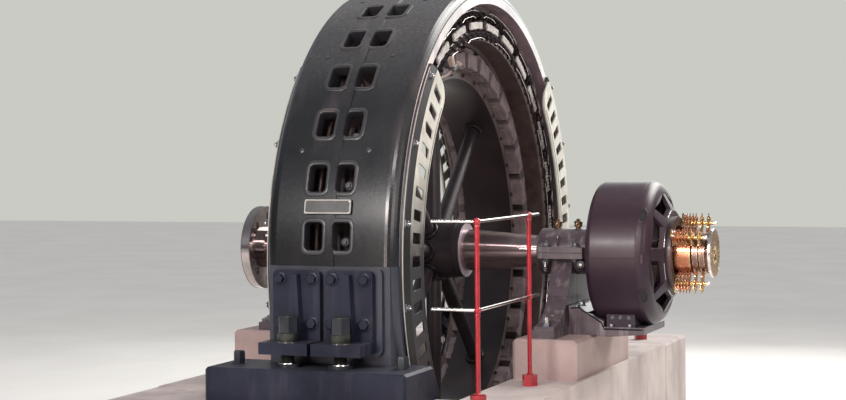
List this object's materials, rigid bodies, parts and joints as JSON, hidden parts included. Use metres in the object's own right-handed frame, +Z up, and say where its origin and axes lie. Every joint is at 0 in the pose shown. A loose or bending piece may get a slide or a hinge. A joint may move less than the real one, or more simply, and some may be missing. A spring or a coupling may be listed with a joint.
{
  "type": "horizontal hydroelectric generator",
  "caption": "Horizontal generator with a windowed stator ring, armed rotor, pedestal bearings and an overhung exciter, standing in a masonry pit with guard rails.",
  "frame": {"origin": "centre of the bounding box's bottom face, at ground level under the foundation", "axes": "+X along the shaft towards the exciter, +Y across the shaft, +Z up"},
  "size_m": [2.932, 4.16, 3.255],
  "materials": {
    "masonry": "matt pinkish masonry",
    "plinth_stone": "smooth pale pinkish plinth",
    "foot_iron": "dark blue-grey gloss enamel",
    "frame_paint": "dark blue-grey semi-gloss enamel",
    "core_iron": "dark varnished laminations",
    "coil_tape": "varnished tape over copper",
    "guard_paint": "cream enamel",
    "plate_metal": "aged plate, left bare",
    "screw_steel": "oily dark steel",
    "bearing_iron": "dark grey-brown gloss enamel",
    "exciter_paint": "dark grey gloss enamel",
    "copper": "copper",
    "brass": "yellow brass",
    "post_paint": "bright red gloss paint",
    "rail_steel": "polished steel",
    "shaft_steel": "turned and polished steel",
    "ring_steel": "bright turned steel",
    "rotor_iron": "near-black brown enamel"
  },
  "bodies": {
    "stationary": {"foundation_near_wall": "masonry", "foundation_far_wall": "masonry", "foundation_front_wall": "masonry", "foundation_rear_wall": "masonry", "bearing_plinth_front": "plinth_stone", "bearing_plinth_rear": "plinth_stone", "sole_plate_near": "foot_iron", "sole_plate_far": "foot_iron", "stator_frame_upper": "frame_paint", "stator_frame_lower": "frame_paint", "stator_core": "core_iron", "coil_heads_front": "coil_tape", "coil_heads_rear": "coil_tape", "end_guard_front": "guard_paint", "end_guard_rear": "guard_paint", "nameplate": "plate_metal", "jacking_brackets_near": "foot_iron", "jacking_brackets_far": "foot_iron", "jack_screws_near": "screw_steel", "jack_screws_far": "screw_steel", "pedestal_front": "bearing_iron", "pedestal_rear": "bearing_iron", "bearing_cap_front": "bearing_iron", "bearing_cap_rear": "bearing_iron", "lubricators": "brass", "exciter_bracket": "bearing_iron", "exciter_yoke": "exciter_paint", "exciter_poles": "coil_tape", "exciter_spider": "exciter_paint", "brush_rocker": "copper", "brush_arms": "brass", "brush_holders": "copper", "rail_posts": "post_paint", "rails": "rail_steel"},
    "rotor": {"shaft": "shaft_steel", "rotor_hub": "rotor_iron", "hub_end_rings": "ring_steel", "rotor_arms": "rotor_iron", "rotor_rim": "rotor_iron", "rotor_poles": "core_iron", "field_coils": "coil_tape", "shaft_coupling": "shaft_steel", "exciter_armature": "core_iron", "commutator": "copper", "slip_rings": "brass", "end_disc": "copper"}
  },
  "joints": [
    {"name": "rotor_spin", "type": "hinge", "parent": "stationary", "child": "rotor", "pos_m": [0, 0, 1.648], "axis": [1, 0, 0], "continuous": true}
  ]
}
